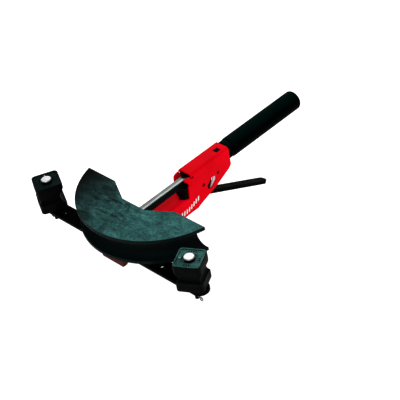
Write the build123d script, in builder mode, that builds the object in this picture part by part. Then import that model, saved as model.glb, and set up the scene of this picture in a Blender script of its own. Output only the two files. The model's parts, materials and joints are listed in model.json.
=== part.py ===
# Hand-operated ratchet tube bender: a grooved half-round former is pushed by a toothed rod
# between two turning glides on a crossbar. Squeezing the lever advances the rod tooth by tooth.
#
# Frame: X runs along the crossbar, Y from the crossbar towards the handle, Z up. The origin is
# the centre of the crossbar's top face, midway between the two glide pins. Millimetres.

import os
from math import cos, radians, sin, sqrt, tan

from build123d import *

# --- driving dimensions -------------------------------------------------------------------

tube_d = 32.0  # outside diameter of the tube the fitted former bends
bend_r = 124.5  # centreline radius of the bend
rim_r = 128.0  # outside radius of the former
former_thick = 43.0
glide_gap = 3.0  # the former slides this far above the crossbar
former_y = 93.0  # centre of the former's arc in the drawn, part-advanced position
chord_y = former_y - 32.5  # straight back edge of the former
notch_y = former_y - 55.0  # bottom of the notch in the back edge
notch_half_open = 64.9
notch_half_bottom = 23.9
mid_z = glide_gap + former_thick / 2  # plane of the tube, the rod and the handle

pin_x = 153.6  # glide pins in use
spare_x = (88.0, 124.8)  # spare pin holes for shorter spans
bar_half = 178.0
bar_width = 27.0
bar_thick = 6.0
glide_side = 41.0
glide_tall = 46.0
glide_turn = 27.3  # angle of each glide, square to the bent tube's leg
washer_thick = 1.5
washer_r = 15.0
pin_r = 8.0
spigot_r = 4.1

sheet = 2.5
half_w = 14.0  # outside half width of the folded channel
web_z = 38.0  # outside of the housing's top web
arm_z = 2.4  # outside of the arm's top web
base_z = -27.0  # lower edges of the channel's walls
fold_r = 4.5  # outside radius of the housing's folds
arm_fold_r = 2.4
web_front_y = 141.5
hollow_y = 127.0  # where the housing's hollow starts
housing_rear_y = 223.0

rod_side = 10.4  # the rod's width
rod_tall = 12.6
pitch = 4.3
tooth_deep = 2.0
tooth_face_tilt = 33.0
tooth_y = 152.5  # root corner of the tooth that the drive pawl meets
hold_teeth = 5  # teeth between the drive pawl's tooth and the holding pawl's
rod_rear_y = 294.0
running = 0.05  # radial clearance of a running fit

lever_y = 162.4
lever_z = 4.8
lever_pin_r = 2.8
lever_throw = 28.0
crank_r = 9.0
drive_engage = 11.5
hold_y = 194.3
hold_z = 8.5
hold_pin_r = 2.4
hold_engage = 7.0
lever_width = 14.0
lever_thick = 6.0
lever_length = 140.0
lever_tilt = -26.2
lever_elbow_y = 174.5
lever_elbow_z = -20.3
slot_half = 3.1

key_x = 3.3  # square key that locks the handle block into the housing's top
key_y = 208.1
key_side = 9.6

grip_r = 16.0
grip_front_y = 235.0
grip_rear_y = 389.0
handle_r = 13.0
handle_bore = 11.0

# --- worked-out places --------------------------------------------------------------------

crank_y = lever_y + crank_r * sin(radians(lever_throw / 2))
crank_z = lever_z + crank_r * cos(radians(lever_throw / 2))
rod_low = mid_z + rod_side / 2 - rod_tall
rod_mid_z = rod_low + rod_tall / 2
inner_w = half_w - sheet

os.makedirs("parts", exist_ok=True)


def save(part, name):
    """Label a finished piece and write it under its node name."""
    part.label = name
    export_step(part, f"parts/{name}.step")


def facing_y(y, z=mid_z):
    """Plane square to Y at the given place on the centre plane, its own Y pointing up."""
    return Plane(origin=(0, y, z), x_dir=(-1, 0, 0), z_dir=(0, 1, 0))


def side_plane(x=0.0, y=0.0, z=0.0, turn=0.0):
    """Plane square to X whose own axes are the model's Y and Z, turned about X in degrees."""
    lean = radians(turn)
    return Plane(origin=(x, y, z), x_dir=(0, cos(lean), sin(lean)), z_dir=(1, 0, 0))


# --- folded channel: housing and arm in one sheet -----------------------------------------

side_outline = [
    (housing_rear_y, web_z),
    (housing_rear_y, 6.5),
    (218, 1.5),
    (188.8, -12),
    (170.7, -17.9),
    (149, -24.9),
    (145, base_z),
    (-14, base_z),
    (-14, -9),
    (17, -9),
    (17, arm_z),
    (129.4, arm_z),
    (131.3, -1.7),
    (133.6, 20),
    (140, 20),
    (140, 31),
    (web_front_y, 31),
    (web_front_y, web_z),
]

# Ear on each wall, leaning in towards the rod: distance forward of its root, and height.
ear_root_y = 141.0
ear_lean = 8.0
ear_rear = [(-2, 20), (-2, 31), (1.2, 31), (1.2, 34)]
ear_outlines = {
    1: ear_rear + [(10.5, 34), (12.6, 32.8), (12.4, 31.2), (9.2, 28), (6.4, 24), (5.8, 20)],
    -1: ear_rear + [(9.5, 33.4), (12.2, 31.4), (13.2, 27), (13.6, 22), (12, 20)],
}

with BuildPart() as channel:
    with BuildSketch(Plane.YZ):
        with BuildLine():
            Polyline(side_outline, close=True)
        make_face()
    extrude(amount=half_w, both=True)
    folds = channel.edges().filter_by(Axis.Y).filter_by(lambda e: e.length > 70)
    fillet(folds.filter_by(lambda e: e.center().Z > 30), radius=fold_r)
    folds = channel.edges().filter_by(Axis.Y).filter_by(lambda e: e.length > 100)
    fillet(folds.filter_by(lambda e: 0 < e.center().Z < 5), radius=arm_fold_r)
    # Inside of the fold: the arm's hollow, then the taller hollow of the housing.
    with BuildSketch(side_plane()):
        Polygon(
            (-20, base_z - 5),
            (-20, 10),
            (17, 10),
            (17, arm_z - sheet),
            (hollow_y, arm_z - sheet),
            (hollow_y, 5),
            (housing_rear_y + 5, 5),
            (housing_rear_y + 5, base_z - 5),
            align=None,
        )
    extrude(amount=inner_w, both=True, mode=Mode.SUBTRACT)
    with BuildSketch(facing_y(hollow_y, 0)):
        with BuildLine():
            top_hollow = Polyline(
                (-inner_w, 0),
                (-inner_w, web_z - sheet),
                (inner_w, web_z - sheet),
                (inner_w, 0),
                close=True,
            )
        make_face()
        fillet(top_hollow.vertices().group_by(Axis.Z)[-1], radius=fold_r - sheet)
    extrude(amount=housing_rear_y, mode=Mode.SUBTRACT)
    # Pointed relief in the arm web's rear edge.
    with BuildSketch(Plane.XY.offset(arm_z - sheet - 1)):
        Polygon(
            (-inner_w, hollow_y),
            (-10.7, 126.2),
            (0, 122),
            (5.2, 116.6),
            (inner_w, 121.5),
            (inner_w, 132),
            (-inner_w, 132),
            align=None,
        )
    extrude(amount=sheet + 2, mode=Mode.SUBTRACT)
    with BuildSketch(side_plane()):
        Polygon((121, 5), (121, arm_z - 0.6), (131.4, -1.7), (132, 5), align=None)
    extrude(amount=half_w + 1, mode=Mode.SUBTRACT)
    # Ears in front of the housing, on a slit with a round bend relief at its end.
    for side, outline in ear_outlines.items():
        turn = radians(ear_lean)
        ear_plane = Plane(
            origin=(side * half_w, ear_root_y, 0),
            x_dir=(-side * sin(turn), -cos(turn), 0),
            z_dir=(-cos(turn), side * sin(turn), 0),
        )
        with BuildSketch(ear_plane):
            Polygon(*outline, align=None)
        extrude(amount=side * sheet)
    with BuildSketch(side_plane()):
        with Locations((144.2, 31.3)):
            Circle(2.1)
        with Locations((142.1, 31.3)):
            Rectangle(4.2, 2.0)
    extrude(amount=half_w + 1, both=True, mode=Mode.SUBTRACT)
    # Oval window over the release plate, and the holes of the two cross pins.
    with BuildSketch(side_plane(0, 179.4, -1.2, 38)):
        SlotOverall(22.0, 13.0)
    extrude(amount=half_w + 1, mode=Mode.SUBTRACT)
    with BuildSketch(side_plane()):
        with Locations((lever_y, lever_z)):
            Circle(lever_pin_r)
        with Locations((hold_y, hold_z)):
            Circle(hold_pin_r + running)
    extrude(amount=half_w + 1, both=True, mode=Mode.SUBTRACT)
    # Square locking hole for the handle block's key.
    with BuildSketch(Plane.XY.offset(web_z - sheet - 1)):
        with Locations((key_x, key_y)):
            RectangleRounded(key_side + 0.2, key_side + 0.2, 0.8)
    extrude(amount=sheet + 2, mode=Mode.SUBTRACT)
save(channel.part, "frame_channel")

# --- front bracket and crossbar -----------------------------------------------------------

bracket_plate = 3.0
bracket_front_y = -19.7
screw_x = 31.0
screw_r = 4.0
screw_low = -19.2
head_r = 7.8
head_sink = 0.2
nut_high = 6.45

with BuildPart() as bracket:
    with BuildSketch(Plane.XY.offset(-bar_thick - bracket_plate)):
        RectangleRounded(80, 26, 4)
        with Locations((0, (bracket_front_y + 16) / 2)):
            Rectangle(46, 16 - bracket_front_y)
    extrude(amount=bracket_plate)
    with BuildSketch(facing_y(bracket_front_y, -15.5)):
        RectangleRounded(46, 15, 2)
    extrude(amount=bracket_plate)
    with BuildSketch(facing_y(bracket_front_y, -10)):
        Rectangle(46, 8)
    extrude(amount=bracket_plate)
    front_top = bracket.edges().filter_by(Axis.X).group_by(Axis.Z)[-1].sort_by(Axis.Y)[0]
    fillet(front_top, radius=2)
    # Gussets behind the ends of the front plate, clear of the nuts.
    for gusset_x in (-23, 23 - bracket_plate):
        with BuildSketch(side_plane(gusset_x)):
            Polygon((-18, -8), (-3, -8), (-3, -14), (-13, -22), (-18, -22), align=None)
        extrude(amount=bracket_plate)
    with BuildSketch(Plane.XY):
        with Locations((-screw_x, 0), (screw_x, 0)):
            Circle(screw_r + 0.2)
    extrude(amount=-20, mode=Mode.SUBTRACT)
save(bracket.part, "front_bracket")

hole_places = [side * x for side in (-1, 1) for x in (*spare_x, pin_x)]

with BuildPart() as crossbar:
    with BuildSketch(Plane.XY.offset(-bar_thick)):
        SlotOverall(2 * bar_half, bar_width)
        with Locations(*[(x, 0) for x in hole_places]):
            Circle(spigot_r + running, mode=Mode.SUBTRACT)
        with Locations((-screw_x, 0), (screw_x, 0)):
            Circle(screw_r + 0.1, mode=Mode.SUBTRACT)
    extrude(amount=bar_thick)
    with Locations(Plane.XY):
        with Locations((-screw_x, 0, 0), (screw_x, 0, 0)):
            CounterSinkHole(screw_r + 0.1, 8.2)
    rim = crossbar.edges().filter_by(lambda e: e.length > 30)
    chamfer(rim, length=0.6)
save(crossbar.part, "crossbar")

with BuildPart() as screws:
    for x in (-screw_x, screw_x):
        with BuildSketch(Plane(origin=(x, 0, 0), x_dir=(1, 0, 0), z_dir=(0, -1, 0))):
            with BuildLine():
                Polyline(
                    (0, -head_sink),
                    (head_r, -head_sink),
                    (screw_r, head_sink + screw_r - head_r - 0.4),
                    (screw_r, screw_low + 0.8),
                    (screw_r - 0.8, screw_low),
                    (0, screw_low),
                    close=True,
                )
            make_face()
        revolve(axis=Axis((x, 0, 0), (0, 0, 1)))
        with BuildSketch(Plane(origin=(x, 0, -head_sink))):
            RegularPolygon(2.9, 6)
        extrude(amount=-2.6, mode=Mode.SUBTRACT)
save(screws.part, "crossbar_screws")

with BuildPart() as nuts:
    for x in (-screw_x, screw_x):
        with BuildSketch(Plane(origin=(x, 0, -bar_thick - bracket_plate - running))):
            RegularPolygon(7.5, 6)
            Circle(screw_r + 0.02, mode=Mode.SUBTRACT)
        extrude(amount=-nut_high)
save(nuts.part, "crossbar_nuts")

# --- glides, their pins, clips and washers ------------------------------------------------

seats = ((tube_d, 7.9), (26.0, 6.0), (16.0, 3.2), (20.0, 3.6))  # tube size and seat depth per side
neck_r = 3.0
neck_z = -14.0
pin_low = -27.0
clip_z = -22.0
clip_wire = 0.9
clip_eye = 2.6
clip_tail = 6.5
clip_reach = 8.5

for side, hand in ((-1, "left"), (1, "right")):
    seat_turn = 90.0 + side * glide_turn
    glide_plane = Plane(
        origin=(side * pin_x, 0, washer_thick),
        x_dir=(cos(radians(seat_turn)), sin(radians(seat_turn)), 0),
        z_dir=(0, 0, 1),
    )
    with BuildPart() as glide:
        with BuildSketch(glide_plane):
            RectangleRounded(glide_side, glide_side, 6)
        extrude(amount=glide_tall)
        ends = glide.edges().group_by(Axis.Z)
        chamfer(ends[0] + ends[-1], length=0.8)
        with BuildSketch(glide_plane.offset(glide_tall)):
            RectangleRounded(glide_side - 6, glide_side - 6, 4)
        extrude(amount=-1.2, mode=Mode.SUBTRACT)
        with BuildSketch(glide_plane.offset(glide_tall)):
            Circle(11.5)
        extrude(amount=-2.8, mode=Mode.SUBTRACT)
        with BuildSketch(glide_plane):
            Circle(pin_r + running)
        extrude(amount=glide_tall, mode=Mode.SUBTRACT)
        # One round seat per side, for four tube sizes.
        for quarter, (size, deep) in enumerate(seats):
            out = radians(seat_turn + 90 * quarter)
            reach = glide_side / 2 + size / 2 - deep
            seat_at = (side * pin_x + reach * cos(out), reach * sin(out), mid_z)
            seat_plane = Plane(origin=seat_at, x_dir=(0, 0, 1), z_dir=(-sin(out), cos(out), 0))
            with BuildSketch(seat_plane):
                Circle(size / 2)
            extrude(amount=glide_side, both=True, mode=Mode.SUBTRACT)
    save(glide.part, f"glide_{hand}")

    with BuildPart() as pin:
        with BuildSketch(Plane(origin=(side * pin_x, 0, 0), x_dir=(1, 0, 0), z_dir=(0, -1, 0))):
            with BuildLine():
                Polyline(
                    (0, pin_low),
                    (neck_r - 0.8, pin_low),
                    (neck_r, pin_low + 0.8),
                    (neck_r, neck_z),
                    (spigot_r, neck_z + 1),
                    (spigot_r, 0),
                    (pin_r, 0),
                    (pin_r, 49.7),
                    (pin_r - 1, 50.7),
                    (0, 50.7),
                    close=True,
                )
            make_face()
        revolve(axis=Axis((side * pin_x, 0, 0), (0, 0, 1)))
        with BuildSketch(side_plane(side * pin_x, 0, clip_z)):
            Circle(clip_wire + 2 * running)
        extrude(amount=neck_r + 1, both=True, mode=Mode.SUBTRACT)
    save(pin.part, f"glide_pin_{hand}")

    # Wire clip through the pin's neck, with an eye at its outer end.
    clip_plane = Plane(origin=(side * pin_x, 0, clip_z), x_dir=(side, 0, 0), z_dir=(0, -side, 0))
    with BuildPart() as clip:
        with BuildLine(clip_plane):
            leg = Line((-clip_tail, 0), (clip_reach, 0))
            CenterArc((clip_reach, -clip_eye), clip_eye, 90, -300)
        with BuildSketch(Plane(origin=leg @ 0, z_dir=leg % 0)):
            Circle(clip_wire)
        sweep()
    save(clip.part, f"pin_clip_{hand}")

with BuildPart() as washers:
    with BuildSketch(Plane.XY):
        with Locations((-pin_x, 0), (pin_x, 0)):
            Circle(washer_r)
        with Locations((-pin_x, 0), (pin_x, 0)):
            Circle(pin_r + 0.1, mode=Mode.SUBTRACT)
    extrude(amount=washer_thick)
save(washers.part, "glide_washers")

# --- former -------------------------------------------------------------------------------

bush_r = 9.0
bush_front_y = notch_y - 24.0
tip_r = 4.0
groove_r = tube_d / 2
tip_half = sqrt(rim_r**2 - (former_y - chord_y) ** 2)
pocket_deep = 9.0
pocket_wall = 5.0

with BuildPart() as former:
    with BuildSketch(Plane.XY.offset(glide_gap)):
        with BuildLine():
            ThreePointArc((-tip_half, chord_y), (0, former_y - rim_r), (tip_half, chord_y))
            Polyline(
                (tip_half, chord_y),
                (notch_half_open, chord_y),
                (notch_half_bottom, notch_y),
                (-notch_half_bottom, notch_y),
                (-notch_half_open, chord_y),
                (-tip_half, chord_y),
            )
        make_face()
    extrude(amount=former_thick)
    edges_round = former.edges().filter_by(Axis.Z, reverse=True)
    chamfer(edges_round, length=0.4)
    # Tube groove round the rim, half-round at its bottom and straight above.
    with BuildSketch(Plane(origin=(0, former_y, mid_z), x_dir=(1, 0, 0), z_dir=(0, -1, 0))):
        with Locations((bend_r, 0)):
            Circle(groove_r)
        with Locations(((bend_r + rim_r + 2) / 2, 0)):
            Rectangle(rim_r + 2 - bend_r, tube_d)
    revolve(axis=Axis((0, former_y, mid_z), (0, 0, 1)), mode=Mode.SUBTRACT)
    # Cast-out pockets in the underside, either side of the rod socket.
    pocket_r = bend_r - groove_r - pocket_wall
    for side in (-1, 1):
        for inner, outer in ((16, 50), (55, 88)):
            with BuildSketch(Plane.XY.offset(glide_gap)):
                with Locations((side * (inner + outer) / 2, 16)):
                    Rectangle(outer - inner, 74)
                with Locations((0, former_y)):
                    Circle(pocket_r, mode=Mode.INTERSECT)
                with BuildLine():
                    Polyline(
                        (side * (notch_half_bottom - 30), notch_y - pocket_wall),
                        (side * (notch_half_bottom + 3), notch_y - pocket_wall),
                        (side * (notch_half_open + 3), chord_y - pocket_wall),
                        (side * 110, chord_y - pocket_wall),
                        (side * 110, 100),
                        (side * (notch_half_bottom - 30), 100),
                        close=True,
                    )
                make_face(mode=Mode.SUBTRACT)
            extrude(amount=pocket_deep, mode=Mode.SUBTRACT)
    with BuildSketch(facing_y(notch_y)):
        Circle(bush_r)
    extrude(amount=-(notch_y - bush_front_y), mode=Mode.SUBTRACT)
save(former.part, "former")

snap_y = notch_y - 15.0
snap_wire = 0.8

with BuildPart() as bush:
    with BuildSketch(facing_y(notch_y)):
        Circle(bush_r)
    extrude(amount=-(notch_y - bush_front_y))
    with BuildSketch(facing_y(notch_y)):
        Circle(tip_r + 0.06)
    extrude(amount=-21, mode=Mode.SUBTRACT)
    with BuildSketch(Plane(origin=(0, snap_y, mid_z), x_dir=(1, 0, 0), z_dir=(0, 0, 1))):
        with Locations((tip_r, 0)):
            Circle(snap_wire + 0.2)
    revolve(axis=Axis((0, snap_y, mid_z), (0, 1, 0)), mode=Mode.SUBTRACT)
save(bush.part, "former_bush")

with BuildPart() as snap_ring:
    with BuildSketch(Plane(origin=(0, snap_y, mid_z), x_dir=(1, 0, 0), z_dir=(0, 0, 1))):
        with Locations((tip_r, 0)):
            Circle(snap_wire)
    revolve(axis=Axis((0, snap_y, mid_z), (0, 1, 0)), revolution_arc=330)
save(snap_ring.part, "former_snap_ring")

# --- push rod with its rack ---------------------------------------------------------------

shoulder_y = notch_y + 0.1
face_run = tooth_deep * tan(radians(tooth_face_tilt))
ramp_run = pitch - face_run - 0.5
rack_first = -14
rack_last = 12
stop_r = 10.2
stop_y = rod_rear_y - 8.0

with BuildPart() as rod:
    with BuildSketch(facing_y(shoulder_y, rod_mid_z)):
        Rectangle(rod_side, rod_tall)
    extrude(amount=rod_rear_y - shoulder_y)
    chamfer(rod.edges().filter_by(Axis.Y), length=0.8)
    # Ratchet teeth along the underside: a leaning face that the pawls push, then a ramp.
    with BuildSketch(side_plane()):
        for tooth in range(rack_first, rack_last + 1):
            root_y = tooth_y + tooth * pitch
            with BuildLine():
                Polyline(
                    (root_y, rod_low + tooth_deep),
                    (root_y - face_run - 0.07, rod_low - 0.1),
                    (root_y + ramp_run + 0.15, rod_low - 0.1),
                    close=True,
                )
            make_face()
    extrude(amount=rod_side, both=True, mode=Mode.SUBTRACT)
    with BuildSketch(facing_y(shoulder_y)):
        Circle(tip_r)
    extrude(amount=-20.5)
    chamfer(rod.faces().sort_by(Axis.Y)[0].edges(), length=0.8)
    with BuildSketch(Plane(origin=(0, snap_y, mid_z), x_dir=(1, 0, 0), z_dir=(0, 0, 1))):
        with Locations((tip_r, 0)):
            Circle(snap_wire + 0.02)
    revolve(axis=Axis((0, snap_y, mid_z), (0, 1, 0)), mode=Mode.SUBTRACT)
    with BuildSketch(facing_y(stop_y)):
        Circle(3)
    extrude(amount=20)
    with BuildSketch(facing_y(stop_y)):
        Circle(40)
        Circle(3.0, mode=Mode.SUBTRACT)
    extrude(amount=30, mode=Mode.SUBTRACT)
save(rod.part, "push_rod")

with BuildPart() as stop:
    with BuildSketch(facing_y(stop_y)):
        Circle(stop_r)
        Circle(3.02, mode=Mode.SUBTRACT)
    extrude(amount=5)
    chamfer(stop.edges().group_by(Axis.Y)[-1].sort_by(SortBy.LENGTH)[-1], length=0.8)
save(stop.part, "rod_stop")

with BuildPart() as stop_nut:
    with BuildSketch(facing_y(stop_y + 5.05)):
        RegularPolygon(5.8, 6)
        Circle(3.02, mode=Mode.SUBTRACT)
    extrude(amount=5)
save(stop_nut.part, "rod_stop_nut")

# --- blocks inside the housing ------------------------------------------------------------

guide_front_y = 127.4
guide_mid_y = 142.2
guide_rear_y = 150.0
guide_low = -22.0
block_top = web_z - sheet - 0.1
fold_bevel = 2.2
square_gap = 0.08

with BuildPart() as guide:
    with BuildSketch(facing_y(guide_mid_y, 0)):
        with Locations((0, (block_top + 14) / 2)):
            Rectangle(2 * inner_w - 0.1, block_top - 14)
    extrude(amount=guide_rear_y - guide_mid_y)
    chamfer(guide.edges().filter_by(Axis.Y).group_by(Axis.Z)[-1], length=fold_bevel)
    # Open underneath behind the front wall, where the drive pawl works.
    with BuildSketch(facing_y(guide_mid_y + 1.5, 0)):
        Rectangle(rod_side + 2 * square_gap, 2 * mid_z)
    extrude(amount=guide_rear_y, mode=Mode.SUBTRACT)
    with BuildSketch(side_plane()):
        Polygon(
            (guide_front_y, guide_low),
            (guide_mid_y + 1.5, guide_low),
            (guide_mid_y + 1.5, 18.8),
            (guide_front_y, 18.8),
            align=None,
        )
    extrude(amount=inner_w - 0.05, both=True)
    with BuildSketch(facing_y(guide_front_y - 1, rod_mid_z)):
        Rectangle(rod_side + 2 * square_gap, rod_tall + 2 * square_gap)
    extrude(amount=guide_rear_y, mode=Mode.SUBTRACT)
save(guide.part, "rod_guide_block")

block_front_y = 201.5
spigot_rear_y = 251.0
spigot_outer = handle_bore - 0.05
rod_corner_r = sqrt((rod_side / 2) ** 2 + (mid_z - rod_low) ** 2)
rivet_y = 231.0
rivet_r = 2.5

block_low = 7.5

with BuildPart() as block:
    with BuildSketch(Plane.XY.offset(block_low)):
        with Locations((0, (block_front_y + housing_rear_y) / 2)):
            Rectangle(2 * inner_w - 0.1, housing_rear_y - block_front_y)
    extrude(amount=block_top - block_low)
    chamfer(block.edges().filter_by(Axis.Y).group_by(Axis.Z)[-1], length=fold_bevel)
    with BuildSketch(Plane.XY.offset(block_top)):
        with Locations((key_x, key_y)):
            RectangleRounded(key_side, key_side, 0.9)
    extrude(amount=1.4)
    with BuildSketch(facing_y(housing_rear_y)):
        Circle(spigot_outer)
    extrude(amount=spigot_rear_y - housing_rear_y)
    with BuildSketch(facing_y(block_front_y - 1)):
        Circle(rod_corner_r)
    extrude(amount=60, mode=Mode.SUBTRACT)
    with BuildSketch(side_plane(0, rivet_y, mid_z)):
        Circle(rivet_r)
    extrude(amount=20, both=True, mode=Mode.SUBTRACT)
save(block.part, "handle_block")

# --- handle -------------------------------------------------------------------------------

handle_front_y = housing_rear_y + 1.5
handle_rear_y = 384.0

with BuildPart() as handle:
    with BuildSketch(facing_y(handle_front_y)):
        Circle(handle_r)
        Circle(handle_bore, mode=Mode.SUBTRACT)
    extrude(amount=handle_rear_y - handle_front_y)
    with BuildSketch(side_plane(0, rivet_y, mid_z)):
        Circle(rivet_r)
    extrude(amount=20, both=True, mode=Mode.SUBTRACT)
save(handle.part, "handle_tube")

with BuildPart() as rivets:
    for side in (-1, 1):
        with BuildSketch(side_plane(side * 8.6, rivet_y, mid_z)):
            Circle(rivet_r)
        extrude(amount=side * (handle_r - 0.4 - 8.6))
save(rivets.part, "handle_rivets")

with BuildPart() as collar:
    with BuildSketch(facing_y(handle_front_y)):
        Circle(15)
        Circle(handle_r + 0.02, mode=Mode.SUBTRACT)
    extrude(amount=grip_front_y - 0.5 - handle_front_y)
    outer = collar.edges().filter_by(GeomType.CIRCLE).filter_by(lambda e: e.radius > 14.5)
    fillet(outer, radius=1)
save(collar.part, "handle_collar")

with BuildPart() as grip:
    with BuildSketch(facing_y(grip_front_y)):
        Circle(grip_r)
    extrude(amount=grip_rear_y - grip_front_y)
    rims = grip.edges().group_by(Axis.Y)
    fillet(rims[-1], radius=5)
    fillet(grip.edges().group_by(Axis.Y)[0], radius=1.5)
    with BuildSketch(facing_y(grip_front_y)):
        Circle(handle_r + 0.02)
    extrude(amount=handle_rear_y + 0.5 - grip_front_y, mode=Mode.SUBTRACT)
save(grip.part, "handle_grip")

# --- lever, its pin and spring ------------------------------------------------------------

lean = radians(lever_tilt)
bar_plane = Plane(
    origin=(0, lever_elbow_y, lever_elbow_z),
    x_dir=(0, cos(lean), sin(lean)),
    z_dir=(0, -sin(lean), cos(lean)),
)

with BuildPart() as lever:
    with BuildSketch(side_plane()):
        with Locations((lever_y, lever_z)):
            Circle(6)
        with Locations((crank_y, crank_z)):
            Circle(3.2)
        make_hull()
    extrude(amount=lever_width / 2, both=True)
    with BuildSketch(side_plane()):
        with Locations((lever_y, lever_z)):
            Circle(5)
        with Locations((lever_elbow_y, lever_elbow_z)):
            Circle(3.2)
        with Locations((lever_y + 19, lever_z - 4)):
            Circle(4)
        make_hull()
    extrude(amount=lever_width / 2, both=True)
    with BuildSketch(bar_plane.offset(-lever_thick / 2)):
        with Locations((lever_length / 2, 0)):
            SlotOverall(lever_length, lever_width)
        with Locations((lever_length / 4, 0)):
            Rectangle(lever_length / 2, lever_width)
    extrude(amount=lever_thick)
    # The root is forked so that the pawls and the return spring sit between two cheeks.
    with BuildSketch(Plane.XY.offset(-60)):
        with Locations((0, 165)):
            Rectangle(2 * slot_half, 44)
    extrude(amount=100, mode=Mode.SUBTRACT)
    with BuildSketch(side_plane()):
        with Locations((lever_y, lever_z)):
            Circle(lever_pin_r + running)
        with Locations((crank_y, crank_z)):
            Circle(2.0)
    extrude(amount=lever_width, both=True, mode=Mode.SUBTRACT)
save(lever.part, "lever")

with BuildPart() as lever_pin:
    with BuildSketch(side_plane(-half_w, lever_y, lever_z)):
        Circle(lever_pin_r)
    extrude(amount=2 * half_w)
    chamfer(lever_pin.edges().filter_by(GeomType.CIRCLE), length=0.4)
save(lever_pin.part, "lever_pin")

with BuildPart() as spacers:
    for side in (-1, 1):
        with BuildSketch(side_plane(side * (lever_width / 2 + 0.1), lever_y, lever_z)):
            Circle(5)
            Circle(lever_pin_r + 0.02, mode=Mode.SUBTRACT)
        extrude(amount=side * (inner_w - lever_width / 2 - 0.2))
save(spacers.part, "lever_spacers")

spring_r = 3.9
spring_wire = 0.55

with BuildPart() as lever_spring:
    with BuildLine():
        coil = Helix(
            pitch=1.3, height=4.2, radius=spring_r, center=(-2.1, lever_y, lever_z), direction=(1, 0, 0)
        )
    with BuildSketch(Plane(origin=coil @ 0, z_dir=coil % 0)):
        Circle(spring_wire)
    sweep(is_frenet=True)
save(lever_spring.part, "lever_spring")

# --- pawls --------------------------------------------------------------------------------


def pawl_profile(root_y, pivot_y, pivot_z, hub_r, bore_r):
    """Pawl drawn about its pivot: a hub, an arm under the rack, and a nose in its tooth space."""
    nose_y = root_y + 0.35 - pivot_y
    nose_z = rod_low + tooth_deep - 0.3 - pivot_z
    low = 3.0
    toe = (nose_y - low * tan(radians(tooth_face_tilt)), nose_z - low)
    heel = (nose_y + 2.6, rod_low - 0.4 - pivot_z)
    Circle(hub_r)
    Polygon(toe, heel, (toe[0] + 1.5, toe[1] - 2.0), align=None)
    make_hull()
    Polygon(toe, (nose_y, nose_z), heel, align=None)
    Circle(bore_r, mode=Mode.SUBTRACT)


drive_plane = side_plane(-1.0, crank_y, crank_z, drive_engage)
with BuildPart() as drive_pawl:
    with BuildSketch(drive_plane):
        pawl_profile(tooth_y, crank_y, crank_z, 3.1, 2.0 + running)
    extrude(amount=2.0, both=True)
save(drive_pawl.part, "drive_pawl")

with BuildPart() as drive_pin:
    with BuildSketch(side_plane(-lever_width / 2, crank_y, crank_z)):
        Circle(2.0)
    extrude(amount=lever_width)
save(drive_pin.part, "drive_pawl_pin")

with BuildPart() as drive_spring:
    with BuildLine():
        turns = Helix(
            pitch=0.7, height=1.0, radius=2.6, center=(1.6, crank_y, crank_z), direction=(1, 0, 0)
        )
    with BuildSketch(Plane(origin=turns @ 0, z_dir=turns % 0)):
        Circle(0.3)
    sweep(is_frenet=True)
save(drive_spring.part, "drive_pawl_spring")

hold_tooth_y = tooth_y + hold_teeth * pitch
hold_plane = side_plane(0, hold_y, hold_z, hold_engage)
with BuildPart() as hold_pawl:
    with BuildSketch(hold_plane):
        pawl_profile(hold_tooth_y, hold_y, hold_z, 4.2, hold_pin_r)
    extrude(amount=2.5, both=True)
save(hold_pawl.part, "holding_pawl")

with BuildPart() as hold_shaft:
    with BuildSketch(side_plane(-half_w, hold_y, hold_z)):
        Circle(hold_pin_r)
    extrude(amount=2 * half_w)
    chamfer(hold_shaft.edges().filter_by(GeomType.CIRCLE), length=0.4)
save(hold_shaft.part, "holding_pawl_shaft")

with BuildPart() as release:
    with BuildSketch(side_plane(inner_w - 0.2 - 2.3, hold_y, hold_z)):
        Circle(4.0)
        Polygon((-5.6, -1.0), (-17.6, -19.4), (-15, -21.5), (-9.5, -21.5), (1.2, -5.5), align=None)
        make_hull()
        Circle(hold_pin_r, mode=Mode.SUBTRACT)
    extrude(amount=2.3)
    fillet(release.edges().filter_by(Axis.X).filter_by(lambda e: e.center().Z < 0), radius=1)
save(release.part, "release_plate")

with BuildPart() as hold_spring:
    with BuildLine():
        winds = Helix(
            pitch=0.9, height=4.0, radius=3.0, center=(-7.6, hold_y, hold_z), direction=(1, 0, 0)
        )
    with BuildSketch(Plane(origin=winds @ 0, z_dir=winds % 0)):
        Circle(0.35)
    sweep(is_frenet=True)
save(hold_spring.part, "holding_pawl_spring")
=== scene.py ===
# Looks for the ratchet tube bender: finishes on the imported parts, small details, stage and camera.
import json
from math import cos, pi, radians, sin

import bmesh
import bpy
from mathutils import Matrix, Vector


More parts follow.
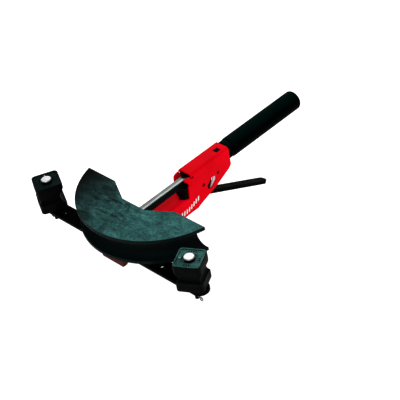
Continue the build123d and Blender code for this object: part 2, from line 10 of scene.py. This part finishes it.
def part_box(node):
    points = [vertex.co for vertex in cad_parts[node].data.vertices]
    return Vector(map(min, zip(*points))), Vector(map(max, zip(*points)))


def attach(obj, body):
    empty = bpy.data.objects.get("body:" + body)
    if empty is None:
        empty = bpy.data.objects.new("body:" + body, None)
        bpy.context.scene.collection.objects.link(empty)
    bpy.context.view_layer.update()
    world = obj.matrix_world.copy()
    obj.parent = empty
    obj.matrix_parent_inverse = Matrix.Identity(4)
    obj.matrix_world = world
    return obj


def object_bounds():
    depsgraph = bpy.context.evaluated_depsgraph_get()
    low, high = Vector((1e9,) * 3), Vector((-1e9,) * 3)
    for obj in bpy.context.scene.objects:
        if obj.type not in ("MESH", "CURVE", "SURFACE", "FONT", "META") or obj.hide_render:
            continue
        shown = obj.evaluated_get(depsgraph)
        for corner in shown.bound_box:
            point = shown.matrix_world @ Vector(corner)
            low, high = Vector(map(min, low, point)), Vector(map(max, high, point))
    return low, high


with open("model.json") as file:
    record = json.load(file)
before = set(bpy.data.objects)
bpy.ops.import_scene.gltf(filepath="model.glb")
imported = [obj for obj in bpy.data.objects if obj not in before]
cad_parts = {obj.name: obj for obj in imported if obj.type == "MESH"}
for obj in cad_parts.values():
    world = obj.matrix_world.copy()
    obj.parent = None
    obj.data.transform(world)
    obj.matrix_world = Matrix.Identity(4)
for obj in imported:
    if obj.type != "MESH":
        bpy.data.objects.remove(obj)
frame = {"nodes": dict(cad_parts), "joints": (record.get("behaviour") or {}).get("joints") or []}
cad_low, cad_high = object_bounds()
nodes = frame["nodes"]
joints = {joint["name"]: joint for joint in frame["joints"]}

MM = 0.001

# --- small node-graph helpers -------------------------------------------------------------


class Graph:
    """A material's node tree with short calls for the few nodes these finishes need."""

    def __init__(self, name):
        self.material = bpy.data.materials.new(name)
        self.material.use_nodes = True
        self.tree = self.material.node_tree
        self.bsdf = self.tree.nodes["Principled BSDF"]
        self.coords = self.tree.nodes.new("ShaderNodeTexCoord").outputs["Object"]

    def add(self, kind, **values):
        """A new node; keyword values set its properties, or its inputs where they are named so."""
        node = self.tree.nodes.new(kind)
        for key, value in values.items():
            if hasattr(node, key):
                setattr(node, key, value)
            else:
                self.set(self.named(node, key), value)
        return node

    def named(self, node, key):
        """A node's input by its name in lower case with underscores."""
        return next(i for i in node.inputs if i.name.lower().replace(" ", "_") == key)

    def set(self, socket, value):
        """Link a socket to another's output, or give it a plain value."""
        if isinstance(value, bpy.types.NodeSocket):
            self.tree.links.new(value, socket)
        elif isinstance(value, (tuple, list)) and len(value) == 3 and socket.type == "RGBA":
            socket.default_value = (*value, 1.0)
        else:
            socket.default_value = value

    def noise(self, scale, detail=3.0, roughness=0.5, stretch=(1, 1, 1), turn=0.0, distortion=0.0):
        """Noise in metres: scale is cycles per metre, stretch squeezes it along axes turned about Z."""
        mapping = self.add("ShaderNodeMapping", vector_type="POINT")
        self.set(mapping.inputs["Vector"], self.coords)
        self.set(mapping.inputs["Scale"], stretch)
        self.set(mapping.inputs["Rotation"], (0.0, 0.0, radians(turn)))
        node = self.add("ShaderNodeTexNoise", scale=scale, detail=detail)
        node.inputs["Roughness"].default_value = roughness
        node.inputs["Distortion"].default_value = distortion
        self.set(node.inputs["Vector"], mapping.outputs["Vector"])
        return node.outputs["Fac"]

    def ramp(self, value, stops):
        """Colour ramp from (position, colour) stops."""
        node = self.add("ShaderNodeValToRGB")
        self.set(node.inputs["Fac"], value)
        elements = node.color_ramp.elements
        while len(elements) < len(stops):
            elements.new(0.5)
        for element, (place, colour) in zip(elements, stops):
            element.position = place
            element.color = (*colour, 1.0)
        return node.outputs["Color"]

    def remap(self, value, low, high, start=0.3, end=0.7):
        """Value between start and end turned into low to high."""
        node = self.add("ShaderNodeMapRange")
        self.set(node.inputs["Value"], value)
        for key, number in (("From Min", start), ("From Max", end), ("To Min", low), ("To Max", high)):
            node.inputs[key].default_value = number
        return node.outputs["Result"]

    def maths(self, operation, first, second=0.0):
        """One sum, product or other operation on two values."""
        node = self.add("ShaderNodeMath", operation=operation)
        self.set(node.inputs[0], first)
        self.set(node.inputs[1], second)
        return node.outputs["Value"]

    def mix(self, share, first, second):
        """Two colours mixed by a share."""
        node = self.add("ShaderNodeMix", data_type="RGBA")
        self.set(node.inputs[0], share)
        self.set(node.inputs[6], first)
        self.set(node.inputs[7], second)
        return node.outputs[2]

    def axis_part(self, vector, axis):
        """A vector's X, Y or Z, for axis 0, 1 or 2."""
        node = self.add("ShaderNodeSeparateXYZ")
        self.set(node.inputs[0], vector)
        return node.outputs[axis]

    def scaled(self, colour, factor):
        """A colour made brighter or darker by a factor."""
        node = self.add("ShaderNodeVectorMath", operation="SCALE")
        self.set(node.inputs[0], colour)
        self.set(node.inputs["Scale"], factor)
        return node.outputs["Vector"]

    def normal_up(self):
        """How far the surface faces up, from -1 to 1."""
        return self.axis_part(self.add("ShaderNodeNewGeometry").outputs["Normal"], 2)

    def bump(self, height, depth_mm, strength=1.0, edge_mm=0.0):
        """Bump of a real depth, over shading that rounds the edges by edge_mm."""
        node = self.add("ShaderNodeBump")
        node.inputs["Strength"].default_value = strength
        node.inputs["Distance"].default_value = depth_mm * MM
        self.set(node.inputs["Height"], height)
        if edge_mm:
            edge = self.add("ShaderNodeBevel", samples=4)
            edge.inputs["Radius"].default_value = edge_mm * MM
            self.set(node.inputs["Normal"], edge.outputs["Normal"])
        self.set(self.bsdf.inputs["Normal"], node.outputs["Normal"])

    def worn(self, edge_mm=1.2):
        """Share of wear: high on sharp outer edges, broken up by noise."""
        edge = self.add("ShaderNodeBevel", samples=4)
        edge.inputs["Radius"].default_value = edge_mm * MM
        geometry = self.add("ShaderNodeNewGeometry")
        dot = self.add("ShaderNodeVectorMath", operation="DOT_PRODUCT")
        self.set(dot.inputs[0], edge.outputs["Normal"])
        self.set(dot.inputs[1], geometry.outputs["Normal"])
        bent = self.remap(dot.outputs["Value"], 1.0, 0.0, 0.90, 0.995)
        patch = self.remap(self.noise(160, 4, 0.6), 0.0, 1.0, 0.48, 0.66)
        return self.maths("MULTIPLY", bent, patch)

    def finish(self, **values):
        """Set the surface's inputs by name and give the finished material."""
        for key, value in values.items():
            self.set(self.named(self.bsdf, key), value)
        return self.material


# --- materials ----------------------------------------------------------------------------


def red_enamel(name, deep, light, painted_glow):
    """Sprayed enamel, a little cloudy, worn darker on its edges.

    Its last argument is a painted glow: the share of its own colour that the paint gives off though it is
    no lamp, which lifts its shaded faces.
    """
    g = Graph(name)
    cloud = g.remap(g.noise(22, 4, 0.55), 0.0, 1.0)
    paint = g.mix(cloud, deep, light)
    wear = g.worn()
    colour = g.mix(g.maths("MULTIPLY", wear, 0.5), paint, tuple(0.5 * part for part in deep))
    g.bump(g.noise(420, 2), 0.05, 0.35, edge_mm=0.7)
    rough = g.remap(g.noise(60, 5, 0.6), 0.32, 0.46)
    g.finish(emission_color=colour, emission_strength=painted_glow)
    return g.finish(base_color=colour, roughness=rough, specular_ior_level=0.015)


# Where the crumpled look on the former's top, with its painted light and shade, is strongest: beside the
# rod's socket.
crumpled_spot = (-0.028, 0.018, 0.046)


def mottled_nylon(name, stops, painted_shade_flank, edge, painted_light_falloff, gloss):
    """Moulded nylon with flow marks: cloudy streaks and a fine grain, painted lighter where it faces up
    and near-black on its flanks, a painted light and shade.

    stops are the mottle's dark, middle and light; the fifth argument is a painted light falloff: the
    tone's share from the left end to the right, darker where less light falls.
    """
    g = Graph(name)
    streak = g.noise(26, 6, 0.62, (1.0, 1.8, 1.0))
    cloud = g.noise(70, 5, 0.6)
    fine = g.noise(300, 3, 0.6)
    mixed = g.maths("ADD", g.maths("MULTIPLY", streak, 0.36), g.maths("MULTIPLY", cloud, 0.29))
    mixed = g.maths("ADD", mixed, g.maths("MULTIPLY", fine, 0.35))
    colour = g.ramp(mixed, [(0.38, stops[0]), (0.50, stops[1]), (0.62, stops[2])])
    # Crumpled flow lines, with their light and shade painted into the colour, strongest beside the rod
    # socket.
    crease = g.noise(38, 5, 0.62, (0.7, 1.9, 1.0), 25, 1.1)
    away = g.add("ShaderNodeVectorMath", operation="DISTANCE")
    g.set(away.inputs[0], g.coords)
    away.inputs[1].default_value = crumpled_spot
    near_socket = g.remap(away.outputs["Value"], 1.0, 0.25, 0.02, 0.08)
    painted_crease_light = g.maths("MULTIPLY", g.remap(crease, -0.75, 0.75, 0.36, 0.62), near_socket)
    # Painted light falloff: the tone darkens towards the left end, where less light falls.
    left, right = painted_light_falloff
    painted_light_across = g.remap(g.axis_part(g.coords, 0), left, right, -110 * MM, 40 * MM)
    shade = g.scaled(colour, g.maths("MULTIPLY", painted_light_across, g.maths("ADD", painted_crease_light, 1.0)))
    painted_light_top = g.remap(g.normal_up(), 0.0, 1.0, 0.9, 0.985)
    # Painted light and shade: only the upper faces take the lit tone, not the floors of the groove and the
    # seats; all other faces take the near-black flank tone.
    high = g.remap(g.axis_part(g.coords, 2), 0.0, 1.0, 38 * MM, 42 * MM)
    tone = g.mix(g.maths("MULTIPLY", painted_light_top, high), painted_shade_flank, shade)
    worn = g.mix(g.maths("MULTIPLY", g.worn(1.4), 0.3), tone, edge)
    grain = g.maths("ADD", g.noise(1100, 3, 0.6), g.maths("MULTIPLY", streak, 3.0))
    g.bump(grain, 0.12, 0.7, edge_mm=0.6)
    return g.finish(base_color=worn, roughness=g.remap(cloud, 0.5, 0.68), specular_ior_level=gloss)


def powder_black():
    """Deep black powder coat with a fine orange peel, rubbed paler on its edges."""
    g = Graph("powder_black")
    wear = g.maths("MULTIPLY", g.worn(1.0), 0.4)
    colour = g.mix(wear, (0.0008, 0.0012, 0.0012), (0.03, 0.033, 0.033))
    g.bump(g.noise(1500, 3, 0.6), 0.05, 0.6, edge_mm=0.5)
    rough = g.remap(g.noise(80, 4), 0.38, 0.52)
    return g.finish(base_color=colour, roughness=rough, specular_ior_level=0.01)


def soft_grip():
    """Smooth soft black plastic, with a faint green painted highlight on its top where the light falls."""
    g = Graph("soft_grip")
    haze = g.remap(g.noise(30, 4), 0.7, 1.0)
    painted_sheen = g.maths("MULTIPLY", haze, g.remap(g.normal_up(), 0.0, 1.0, 0.45, 1.0))
    colour = g.mix(painted_sheen, (0.0004, 0.0009, 0.0007), (0.0016, 0.013, 0.0105))
    g.bump(g.noise(1700, 2), 0.04, 0.5, edge_mm=0.6)
    rough = g.remap(g.noise(120, 3), 0.36, 0.46)
    g.finish(specular_tint=(0.3, 1.0, 0.8, 1.0))
    return g.finish(base_color=colour, roughness=rough, specular_ior_level=0.008)


def bright_steel(name, tone, stretch, rough=(0.16, 0.3)):
    """Steel with fine lines from drawing or turning: stretch is small along the lines."""
    g = Graph(name)
    lines = g.noise(2600, 3, 0.6, stretch)
    colour = g.mix(g.remap(g.noise(90, 4), 0.0, 1.0), tone, tuple(0.86 * part for part in tone))
    g.bump(lines, 0.02, 0.4, edge_mm=0.3)
    return g.finish(base_color=colour, metallic=1.0, roughness=g.remap(lines, *rough))


def ground_steel(name, bright, dull, stretch):
    """Steel ground bright where it faces up, with painted shade on its flanks, which take a near-black
    tone.
    """
    g = Graph(name)
    lines = g.noise(2600, 3, 0.6, stretch)
    ground_and_lit_top = g.remap(g.normal_up(), 0.0, 1.0, 0.5, 0.9)
    # Painted highlight: across the top the dull tone turns bright towards +X.
    painted_light_across = g.remap(g.axis_part(g.coords, 0), 0.0, 1.0, 0.2 * MM, 2.6 * MM)
    tone = g.mix(painted_light_across, dull, bright)
    patch = g.remap(g.noise(120, 4, 0.6, (1.0, 0.3, 1.0)), 0.82, 1.0)
    # Painted shade: faces that do not face up take a near-black tone.
    colour = g.mix(ground_and_lit_top, (0.0018, 0.0022, 0.002), g.scaled(tone, patch))
    g.bump(lines, 0.02, 0.4)
    rough = g.maths("SUBTRACT", g.remap(lines, 0.42, 0.55), g.maths("MULTIPLY", ground_and_lit_top, 0.15))
    metal = g.remap(ground_and_lit_top, 0.0, 1.0, 0, 1)
    return g.finish(base_color=colour, metallic=metal, roughness=rough, specular_ior_level=0.04)


def zinc(name, tone, metal):
    """Zinc plate with its cloudy crystals; a low metal share makes it read nearly white."""
    g = Graph(name)
    cloud = g.remap(g.noise(260, 5, 0.65), 0.0, 1.0)
    colour = g.mix(cloud, tone, tuple(0.75 * part for part in tone))
    g.bump(g.noise(1300, 2), 0.02, 0.5, edge_mm=0.3)
    return g.finish(base_color=colour, metallic=metal, roughness=g.remap(cloud, 0.28, 0.45, 0, 1))


def blackened(name, tone):
    """Black oxide or blackened casting, uneven and nearly dull."""
    g = Graph(name)
    cloud = g.remap(g.noise(180, 5, 0.65), 0.0, 1.0)
    colour = g.mix(cloud, tone, tuple(1.8 * part for part in tone))
    g.bump(g.noise(800, 4, 0.6), 0.06, 0.6, edge_mm=0.4)
    rough = g.remap(cloud, 0.42, 0.62, 0, 1)
    return g.finish(base_color=colour, metallic=0.1, roughness=rough, specular_ior_level=0.04)


def print_white():
    """White print with slightly thin patches."""
    g = Graph("print_white")
    patch = g.remap(g.noise(700, 4, 0.6), 0.0, 1.0, 0.3, 0.5)
    colour = g.mix(patch, (0.62, 0.60, 0.58), (0.86, 0.85, 0.83))
    g.bump(g.noise(900, 2), 0.02, 0.4)
    return g.finish(base_color=colour, roughness=0.5)


def moulded_mark(name, dark, light):
    """Raised moulded plastic mark, unevenly inked between a dark and a light tone."""
    g = Graph(name)
    patch = g.remap(g.noise(900, 3, 0.6), 0.0, 1.0, 0.3, 0.6)
    g.bump(g.noise(1200, 2), 0.03, 0.5)
    return g.finish(base_color=g.mix(patch, dark, light), roughness=0.55, specular_ior_level=0.2)


# The red enamel gives off a share of its own colour though it is no lamp: a painted glow that lifts its
# shaded faces.
red = red_enamel("red_enamel", (0.52, 0.0003, 0.009), (0.64, 0.0006, 0.013), 0.28)
# A darker copy of the red enamel for the front bracket: painted shade on the same red paint.
brown_red = red_enamel("brown_red", (0.060, 0.016, 0.012), (0.11, 0.032, 0.024), 0.0)
black = powder_black()
grip_black = soft_grip()
zinc_plate = zinc("zinc_plate", (0.50, 0.52, 0.54), 0.9)
# A paler, barely metallic copy of the zinc plate: painted light that lifts the pawls and release plate in
# the housing's shaded inside.
pawl_zinc = zinc("pawl_zinc", (0.93, 0.94, 0.94), 0.1)
spring_wire = bright_steel("spring_wire", (0.35, 0.35, 0.36), (1, 1, 1), (0.3, 0.45))
turned = ground_steel("turned_steel", (0.93, 0.94, 0.94), (0.93, 0.94, 0.94), (1.0, 1.0, 0.05))
ground_rod = ground_steel("ground_rod", (0.42, 0.45, 0.43), (0.17, 0.19, 0.18), (1.0, 0.03, 1.0))
former_nylon = mottled_nylon(
    "former_nylon",
    ((0.014, 0.062, 0.060), (0.037, 0.128, 0.122), (0.080, 0.215, 0.205)),
    (0.002, 0.008, 0.008),
    (0.02, 0.07, 0.065),
    (0.04, 1.12),
    0.08,
)
glide_nylon = mottled_nylon(
    "glide_nylon",
    ((0.008, 0.028, 0.026), (0.020, 0.062, 0.056), (0.045, 0.110, 0.10)),
    (0.0006, 0.0010, 0.0010),
    (0.02, 0.045, 0.04),
    (0.32, 2.1),
    0.05,
)
# The guide block's black is partly its own finish and partly painted shade, filling the housing's inside
# behind the throat with dark.
block_black = blackened("block_black", (0.0015, 0.002, 0.0018))
oxide = blackened("oxide", (0.0010, 0.0010, 0.0011))
white_print = print_white()
dark_mark = moulded_mark("dark_mark", (0.001, 0.003, 0.003), (0.006, 0.018, 0.017))
pale_mark = moulded_mark("pale_mark", (0.16, 0.24, 0.22), (0.45, 0.55, 0.52))

finish_of = {
    red: ("frame_channel",),
    brown_red: ("front_bracket",),
    black: ("crossbar", "lever", "handle_tube"),
    grip_black: ("handle_grip", "handle_collar"),
    former_nylon: ("former",),
    glide_nylon: ("glide_left", "glide_right"),
    ground_rod: ("push_rod",),
    turned: ("glide_pin_left", "glide_pin_right"),
    zinc_plate: ("crossbar_screws", "glide_washers", "former_bush", "rod_stop", "rod_stop_nut",
                 "handle_rivets", "lever_spacers"),
    pawl_zinc: ("drive_pawl", "drive_pawl_pin", "holding_pawl", "release_plate"),
    spring_wire: ("lever_spring", "drive_pawl_spring", "holding_pawl_spring", "former_snap_ring",
                  "pin_clip_left", "pin_clip_right"),
    block_black: ("rod_guide_block", "handle_block"),
    oxide: ("lever_pin", "holding_pawl_shaft", "crossbar_nuts"),
}
for finish, names in finish_of.items():
    for name in names:
        nodes[name].data.materials.clear()
        nodes[name].data.materials.append(finish)

# --- modelled details ---------------------------------------------------------------------


def piece(name, mesh_data, finish, body):
    """Turn a bmesh into a named piece with a finish, riding on a body."""
    data = bpy.data.meshes.new(name)
    mesh_data.to_mesh(data)
    mesh_data.free()
    made = bpy.data.objects.new(name, data)
    bpy.context.scene.collection.objects.link(made)
    data.materials.append(finish)
    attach(made, body)


def pad(bm, place, half_long, half_wide, height, round_share=0.35, sides=4):
    """A low raised pad with rounded ends and a smaller top; place maps its own plane to the model."""
    ring_low = []
    ring_top = []
    corner = round_share * half_wide * 2
    top_corner = corner * 0.7
    rise = Vector((0, 0, height))
    for quarter, (x_side, y_side) in enumerate(((1, 1), (-1, 1), (-1, -1), (1, -1))):
        centre = Vector(((half_long - corner) * x_side, (half_wide - corner) * y_side, 0))
        for step in range(sides + 1):
            angle = (quarter + step / sides) * pi / 2
            out = Vector((cos(angle), sin(angle), 0))
            ring_low.append(bm.verts.new(place @ (centre + out * corner)))
            ring_top.append(bm.verts.new(place @ (centre + out * top_corner + rise)))
    count = len(ring_low)
    for i in range(count):
        j = (i + 1) % count
        bm.faces.new((ring_low[i], ring_low[j], ring_top[j], ring_top[i]))
    bm.faces.new(ring_top)
    bm.faces.new(list(reversed(ring_low)))


glide_turn = 27.3  # each glide is turned this far, in degrees, square to its leg of the bent tube
recess_deep = 1.2 * MM  # the face round the pin lies this far below the glide's rim
mark_out = 14.3 * MM  # from the pin's axis to the middle of a bar
mark_pitch = 3.6 * MM
mark_half_long = 1.7 * MM
mark_half_wide = 0.9 * MM
mark_high = 0.6 * MM
# Piece label, finish, and how many bars stand on each quarter's edge.
mark_sets = (
    ("marks", dark_mark, {0: 4, 2: 3, 3: 2}),
    ("single_mark", pale_mark, {1: 1}),
)


def glide_marks(hand, side):
    """Size marks in the rim round a glide's top: one to four raised bars per edge, the single one pale."""
    turn = radians(90 + side * glide_turn)
    pivot = Vector(joints[f"glide_{hand}_turn"]["pos_m"])
    face_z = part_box(f"glide_{hand}")[1].z - recess_deep
    centre = Matrix.Translation((pivot.x, pivot.y, face_z))
    for label, finish, quarters in mark_sets:
        bm = bmesh.new()
        for quarter, count in quarters.items():
            spin = Matrix.Rotation(turn + quarter * pi / 2, 4, "Z")
            for bar in range(count):
                along = (bar - (count - 1) / 2) * mark_pitch
                place = centre @ spin @ Matrix.Translation((mark_out, along, 0))
                pad(bm, place, mark_half_long, mark_half_wide, mark_high)
        piece(f"glide_{label}_{hand}", bm, finish, f"glide_{hand}")


for hand, side in (("left", -1), ("right", 1)):
    glide_marks(hand, side)


hatch_bars = 10
hatch_start_y = 98 * MM
hatch_pitch = 5.2 * MM
hatch_low = 4.5 * MM  # height of the row above the wall's lower edge
hatch_bend_y = 121 * MM  # from here the row climbs with the wall's edge
hatch_climb = 0.35
bar_wide = 2.6 * MM
bar_lean = 2.0 * MM
bar_tall = 7.5 * MM
print_thick = 0.08 * MM


def arm_hatch():
    """A plain printed row of slanted bars along the lower edge of each arm wall."""
    low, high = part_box("frame_channel")
    for name, side in (("arm_hatch_right", 1), ("arm_hatch_left", -1)):
        bm = bmesh.new()
        face = side * high.x
        for bar in range(hatch_bars):
            y = hatch_start_y + bar * hatch_pitch
            z = low.z + hatch_low + max(0.0, y - hatch_bend_y) * hatch_climb
            top_y = y + bar_lean
            top_z = z + bar_tall
            corners = [(y, z), (y + bar_wide, z), (top_y + bar_wide, top_z), (top_y, top_z)]
            near = [bm.verts.new((face, *point)) for point in corners]
            far = [bm.verts.new((face + side * print_thick, *point)) for point in corners]
            bm.faces.new(far)
            bm.faces.new(list(reversed(near)))
            for i in range(4):
                j = (i + 1) % 4
                bm.faces.new((near[i], near[j], far[j], far[i]))
        bmesh.ops.recalc_face_normals(bm, faces=bm.faces)
        piece(name, bm, white_print, "frame")


arm_hatch()

# --- stage, light and camera --------------------------------------------------------------


floor_drop = 0.03  # the floor lies this far below the tool's lowest point
floor_half = 6.0


def stage_floor():
    """A pale, slightly glowing floor."""
    g = Graph("floor")
    tone = g.remap(g.noise(3, 3), 0.97, 0.99)
    pale = g.ramp(tone, [(0, (0, 0, 0)), (1, (1, 1, 1))])
    g.finish(emission_color=pale, emission_strength=0.45)
    g.finish(base_color=pale, roughness=0.9, specular_ior_level=0.0)
    # Seen from below the floor is clear, so that the underside can be looked at.
    clear = g.add("ShaderNodeBsdfTransparent")
    side = g.add("ShaderNodeMixShader")
    g.set(side.inputs[0], g.add("ShaderNodeNewGeometry").outputs["Backfacing"])
    g.set(side.inputs[1], g.bsdf.outputs["BSDF"])
    g.set(side.inputs[2], clear.outputs["BSDF"])
    g.set(g.tree.nodes["Material Output"].inputs["Surface"], side.outputs["Shader"])
    bm = bmesh.new()
    height = cad_low[2] - floor_drop
    corners = ((-1, -1), (1, -1), (1, 1), (-1, 1))
    bm.faces.new([bm.verts.new((x * floor_half, y * floor_half, height)) for x, y in corners])
    data = bpy.data.meshes.new("floor")
    bm.to_mesh(data)
    bm.free()
    floor = bpy.data.objects.new("floor", data)
    bpy.context.scene.collection.objects.link(floor)
    data.materials.append(g.material)


def area_light(name, place, aim, size, power):
    """A round white soft box at a place, turned towards its aim."""
    data = bpy.data.lights.new(name, "AREA")
    data.shape = "DISK"
    data.size = size
    data.energy = power
    lamp = bpy.data.objects.new(name, data)
    lamp.location = place
    lamp.rotation_euler = (Vector(aim) - Vector(place)).to_track_quat("-Z", "Y").to_euler()
    bpy.context.scene.collection.objects.link(lamp)


sky_light = 0.8
sky_in_reflections = 0.1


def studio():
    """White surround for the camera and for soft light, held back in reflections, with two soft boxes."""
    world = bpy.data.worlds.new("studio")
    world.use_nodes = True
    tree = world.node_tree
    sky = tree.nodes["Background"]
    sky.inputs["Color"].default_value = (1, 1, 1, 1)
    path = tree.nodes.new("ShaderNodeLightPath")
    level = tree.nodes.new("ShaderNodeMapRange")
    level.inputs["To Min"].default_value = sky_light
    level.inputs["To Max"].default_value = sky_in_reflections
    seen = tree.nodes.new("ShaderNodeMath")
    seen.operation = "MAXIMUM"
    tree.links.new(path.outputs["Is Glossy Ray"], level.inputs["Value"])
    tree.links.new(level.outputs["Result"], seen.inputs[0])
    tree.links.new(path.outputs["Is Camera Ray"], seen.inputs[1])
    tree.links.new(seen.outputs["Value"], sky.inputs["Strength"])
    bpy.context.scene.world = world
    centre = (0.05, 0.12, 0.0)
    area_light("far_box", (-1.5, 1.4, 1.3), centre, 1.1, 8)
    area_light("key", (0.6, -0.9, 1.9), centre, 0.8, 9)


def photo_camera():
    """Camera at azimuth 51.1, elevation 37.8 degrees, rolled a little, aimed near the rod's middle."""
    azimuth = radians(51.13)
    elevation = radians(37.80)
    roll = radians(10.77)
    distance = 1.8372
    aim = Vector((0.0542, 0.1173, 0.0245))
    back = Vector((sin(azimuth) * cos(elevation), -cos(azimuth) * cos(elevation), sin(elevation)))
    data = bpy.data.cameras.new("camera")
    data.lens = 113.15
    data.sensor_width = 36.0
    data.clip_end = 20
    camera = bpy.data.objects.new("camera", data)
    level = back.to_track_quat("Z", "Y").to_matrix().to_4x4()
    place = Matrix.Translation(aim + back * distance)
    camera.matrix_world = place @ level @ Matrix.Rotation(-roll, 4, "Z")
    bpy.context.scene.collection.objects.link(camera)
    bpy.context.scene.camera = camera


stage_floor()
studio()
photo_camera()
bpy.context.scene.view_settings.view_transform = "Standard"
bpy.context.scene.view_settings.gamma = 0.8
